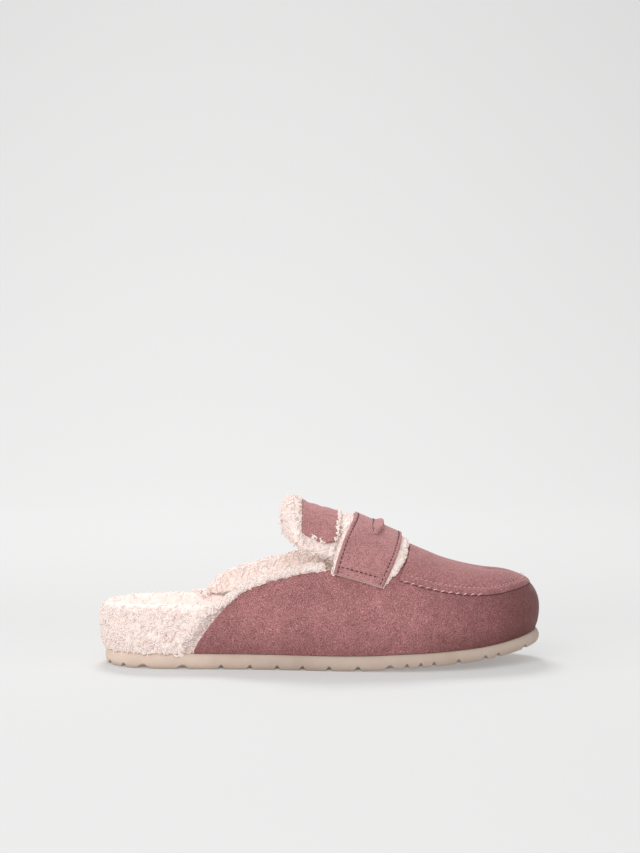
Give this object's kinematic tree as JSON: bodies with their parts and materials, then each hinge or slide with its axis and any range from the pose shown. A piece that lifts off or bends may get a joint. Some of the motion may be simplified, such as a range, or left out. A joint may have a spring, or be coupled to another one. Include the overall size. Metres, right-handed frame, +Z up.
{
  "type": "clog slipper",
  "caption": "Backless clog slipper with a moccasin toe, a saddle strap over a fleece tongue, a fleece-covered heel cup and a flat treaded sole",
  "frame": {"origin": "centre of the shoe's box in plan, on the floor that it stands on", "axes": "+X to the toe, +Y to the inner (medial) side of the foot, +Z up"},
  "size_m": [0.2614, 0.0948, 0.0963],
  "materials": {
    "sole_rubber": "matte moulded rubber",
    "fleece": "curly sherpa pile",
    "suede": "brushed suede nap"
  },
  "bodies": {
    "root": {"outsole": "sole_rubber", "footbed": "fleece", "upper": "suede", "apron": "suede", "collar_fleece_lateral": "fleece", "collar_fleece_medial": "fleece", "tongue_fleece": "fleece", "tongue": "suede", "strap_fleece": "fleece", "saddle_strap": "suede", "keeper": "suede"}
  },
  "joints": []
}
